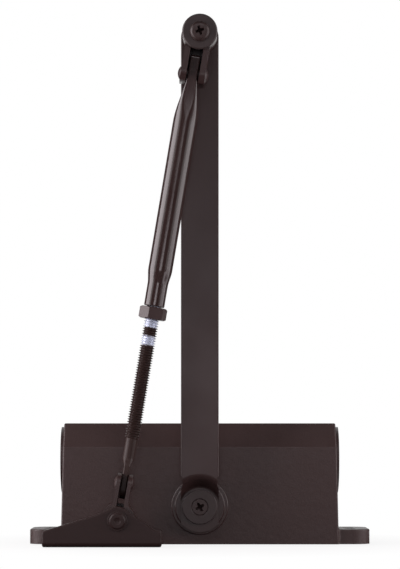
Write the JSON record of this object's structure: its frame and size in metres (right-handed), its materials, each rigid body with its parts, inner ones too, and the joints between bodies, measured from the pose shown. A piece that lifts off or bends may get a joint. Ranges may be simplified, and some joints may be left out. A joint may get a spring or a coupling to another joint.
{
  "type": "overhead door closer",
  "caption": "Overhead hydraulic door closer with rack-and-pinion body, flat main arm, adjustable forearm and folded frame shoe.",
  "frame": {"origin": "centre of the body's four screw holes, on the back face that lies on the door", "axes": "+Z out of the door, +X along the body towards the valve end, -Y towards the pinion end that carries the arm"},
  "size_m": [0.185, 0.0948, 0.2821],
  "materials": {
    "body_paint": "satin dark bronze paint with a fine wrinkle",
    "cap_paint": "satin dark bronze paint",
    "arm_paint": "satin dark bronze paint",
    "disc_paint": "satin dark bronze paint",
    "nut_paint": "satin dark bronze paint",
    "fastener_dark": "dark coated steel",
    "rod_steel": "dark coated thread with bare zinc bands",
    "valve_brass": "machined",
    "bare_steel": "ground",
    "spring_steel": "shot peened",
    "piston_iron": "machined",
    "rubber_black": "matte",
    "ring_plastic": "smooth",
    "cover_plastic": "moulded"
  },
  "bodies": {
    "closer": {"closer_body": "body_paint", "spring_end_plug": "body_paint", "valve_end_plug": "body_paint", "spring_plug_ring": "rubber_black", "valve_plug_ring": "rubber_black", "upper_bearing_cap": "cap_paint", "upper_bearing": "bare_steel", "lower_bearing": "bare_steel", "upper_shaft_seal": "rubber_black", "lower_shaft_seal": "rubber_black", "spindle_cover": "cover_plastic", "closing_spring": "spring_steel"},
    "pinion": {"pinion_shaft": "bare_steel", "main_arm": "arm_paint", "arm_washer": "disc_paint", "arm_screw": "fastener_dark", "elbow_bush": "arm_paint", "elbow_washer": "disc_paint", "elbow_screw": "fastener_dark"},
    "piston": {"piston": "piston_iron", "piston_ring": "ring_plastic", "check_ball": "bare_steel", "check_retainer": "bare_steel"},
    "sweep_valve": {"sweep_valve": "valve_brass", "sweep_valve_ring": "rubber_black"},
    "latch_valve": {"latch_valve": "valve_brass", "latch_valve_ring": "rubber_black"},
    "elbow_strap": {"elbow_strap": "arm_paint", "elbow_cross_rivet": "fastener_dark"},
    "forearm_tube": {"forearm_tube": "arm_paint"},
    "lock_nut": {"lock_nut": "nut_paint"},
    "threaded_rod": {"threaded_rod": "rod_steel"},
    "shoe_strap": {"shoe_strap": "arm_paint", "shoe_cross_rivet": "fastener_dark"},
    "frame_shoe": {"frame_shoe": "arm_paint", "shoe_rivet": "fastener_dark", "shoe_bush": "arm_paint", "shoe_washer": "fastener_dark"}
  },
  "joints": [
    {"name": "pinion_turn", "type": "hinge", "parent": "closer", "child": "pinion", "pos_m": [0, 0, 0.0205], "axis": [0, -1, 0], "range_deg": [0, 160], "stiffness_Nm_per_rad": 7.4, "springref_deg": -103.13},
    {"name": "piston_slide", "type": "slide", "parent": "closer", "child": "piston", "axis": [-1, 0, 0], "range_m": [0, 0.0336], "deforming": ["closing_spring"]},
    {"name": "sweep_valve_turn", "type": "hinge", "parent": "closer", "child": "sweep_valve", "pos_m": [0.07496, -0.007, 0.015], "axis": [1, 0, 0], "range_deg": [0, 360]},
    {"name": "latch_valve_turn", "type": "hinge", "parent": "closer", "child": "latch_valve", "pos_m": [0.07496, 0.007, 0.015], "axis": [1, 0, 0], "range_deg": [0, 360]},
    {"name": "elbow_swivel", "type": "hinge", "parent": "pinion", "child": "elbow_strap", "pos_m": [0, -0.0472, 0.272], "axis": [0, -1, 0], "range_deg": [-170, 190]},
    {"name": "elbow_tilt", "type": "hinge", "parent": "elbow_strap", "child": "forearm_tube", "pos_m": [-0.00357, -0.0472, 0.2508], "axis": [-0.9861, 0, 0.1659], "range_deg": [-2.5, 20]},
    {"name": "lock_nut_turn", "type": "hinge", "parent": "forearm_tube", "child": "lock_nut", "pos_m": [-0.02431, -0.0472, 0.12753], "axis": [-0.1659, 0, -0.9861], "range_deg": [0, 360]},
    {"name": "forearm_extend", "type": "slide", "parent": "forearm_tube", "child": "threaded_rod", "axis": [-0.1659, 0, -0.9861], "range_m": [-0.045, 0.015]},
    {"name": "shoe_tilt", "type": "hinge", "parent": "threaded_rod", "child": "shoe_strap", "pos_m": [-0.0401, -0.0472, 0.03365], "axis": [-0.9861, 0, 0.1659], "range_deg": [-15, 15]},
    {"name": "shoe_swivel", "type": "hinge", "parent": "shoe_strap", "child": "frame_shoe", "pos_m": [-0.04342, -0.0472, 0.01393], "axis": [0, -1, 0], "range_deg": [-95, 95]}
  ],
  "couplings": [
    {"joint": "piston_slide", "follows": "pinion_turn", "m_per_rad": 0.012}
  ]
}
